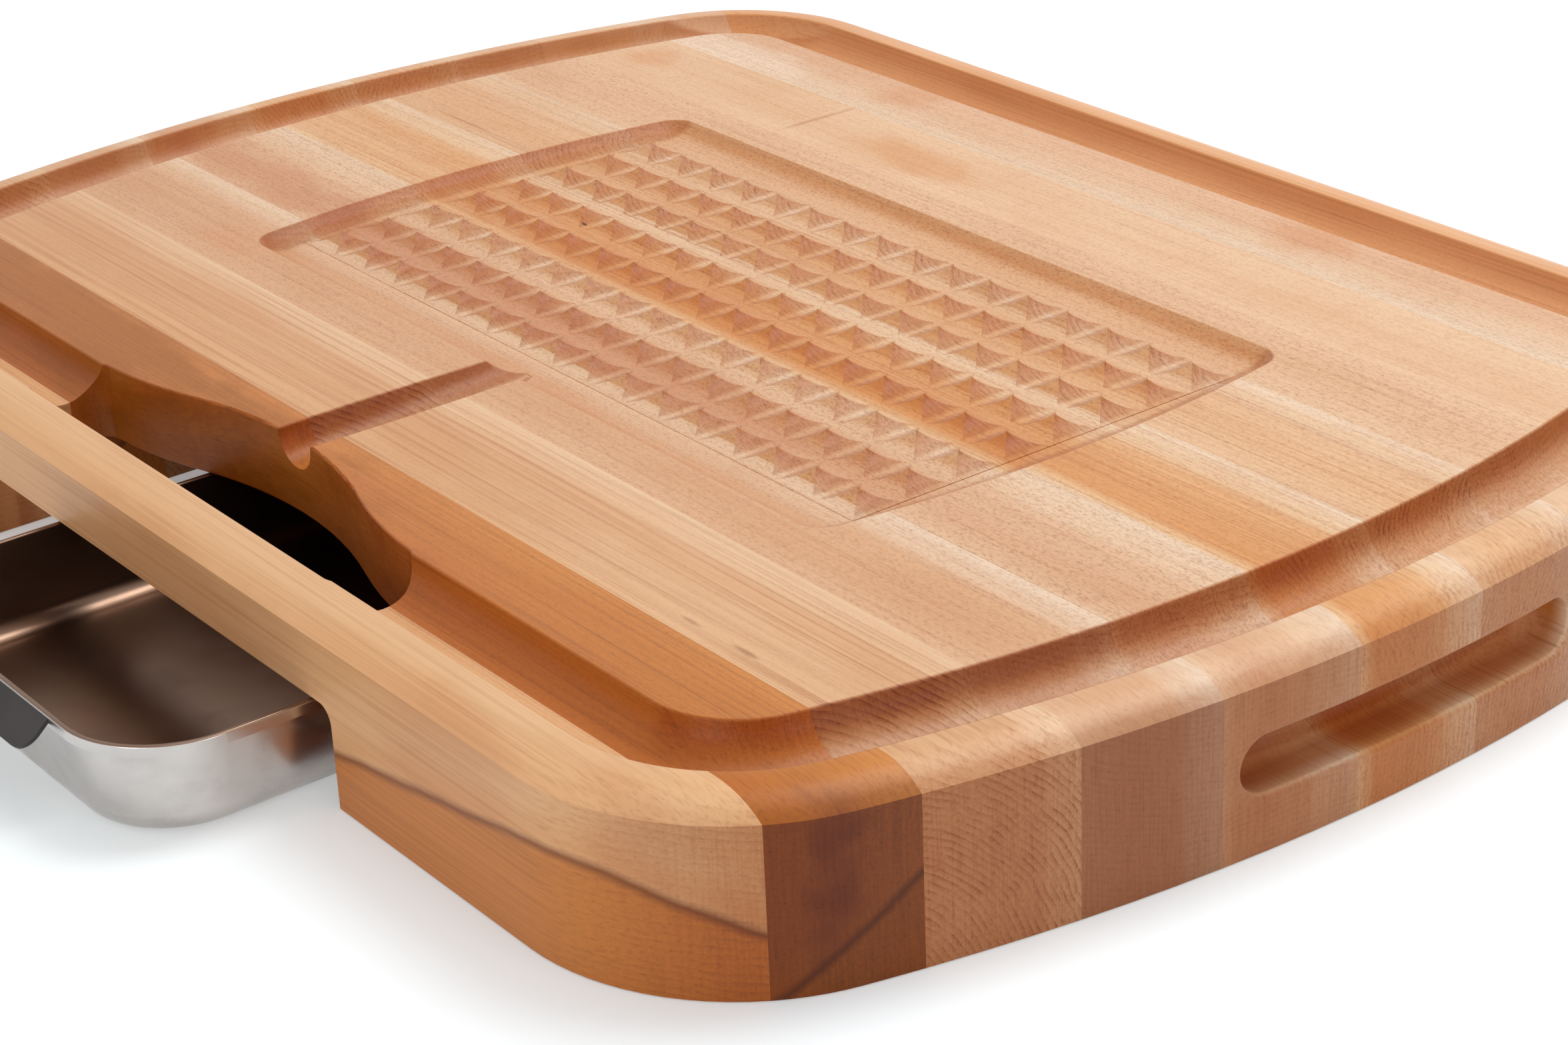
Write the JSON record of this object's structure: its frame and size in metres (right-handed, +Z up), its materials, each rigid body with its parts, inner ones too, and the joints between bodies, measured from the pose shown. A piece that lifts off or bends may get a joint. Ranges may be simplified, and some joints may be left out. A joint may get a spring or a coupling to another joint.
{
  "type": "carving board with drip tray",
  "caption": "Thick maple carving board of glued staves with a juice groove, a spiked meat hollow, a drain mouth, finger slots in its ends and a steel drip tray that slides out from under it.",
  "frame": {"origin": "on the table, under the middle of the box round the board and the part-open tray", "axes": "+X along the board's length, -Y towards the side the tray is pulled out of, +Z up from the table"},
  "size_m": [0.6096, 0.5262, 0.0571],
  "materials": {
    "maple_cream": "oiled satin",
    "maple_heart": "oiled satin",
    "maple_tan": "oiled satin",
    "maple_rose": "oiled satin",
    "maple_amber": "oiled satin",
    "pan_steel": "satin",
    "pull_steel": "satin"
  },
  "bodies": {
    "board": {"stave_01": "maple_cream", "stave_02": "maple_heart", "stave_03": "maple_tan", "stave_04": "maple_rose", "stave_05": "maple_cream", "stave_06": "maple_amber", "stave_07": "maple_cream", "stave_08": "maple_tan", "stave_09": "maple_rose", "stave_10": "maple_cream", "stave_11": "maple_tan"},
    "pan": {"drip_tray": "pan_steel", "tray_pull": "pull_steel"}
  },
  "joints": [
    {"name": "pan_slide", "type": "slide", "parent": "board", "child": "pan", "axis": [0, -1, 0], "range_m": [-0.06, 0.17]}
  ]
}
